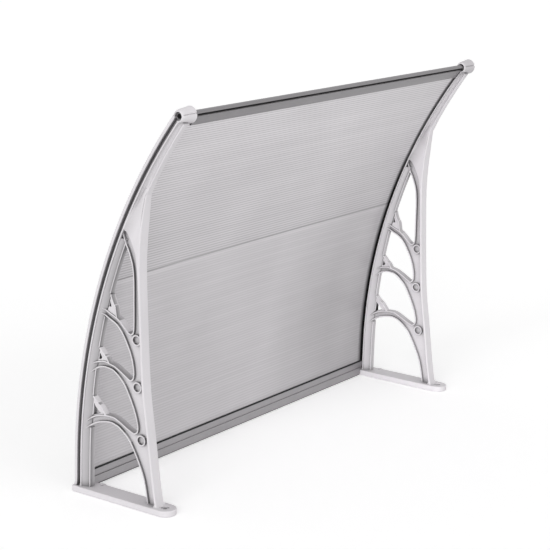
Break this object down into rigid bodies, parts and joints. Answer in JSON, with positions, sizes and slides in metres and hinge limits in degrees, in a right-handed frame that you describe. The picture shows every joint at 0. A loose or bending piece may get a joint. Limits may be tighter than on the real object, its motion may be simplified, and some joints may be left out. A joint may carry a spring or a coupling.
{
  "type": "polycarbonate awning",
  "caption": "Door or window awning: a curved twin-wall polycarbonate sheet between moulded lattice wall brackets, with an aluminium bar along each long edge.",
  "frame": {"origin": "middle of the base of the bounding box, on the wall plane that the wall plates lie against", "axes": "+X along the bars towards the right bracket; +Z away from the wall, so the wall is the plane Z = 0; the hollow side of the sheet and the plates' round tips point to -Y, which is down once the awning is on its wall"},
  "size_m": [1.026, 0.243, 0.7412],
  "materials": {
    "white_plastic": "satin moulded plastic, pale grey-white",
    "clear_sheet": "translucent twin-wall polycarbonate with fine flute lines",
    "aluminium": "satin anodised",
    "rubber": "matt black"
  },
  "bodies": {
    "root": {"left_bracket": "white_plastic", "right_bracket": "white_plastic", "roof_sheet": "clear_sheet", "front_bar": "aluminium", "rear_bar": "aluminium", "rear_seal": "rubber"}
  },
  "joints": []
}
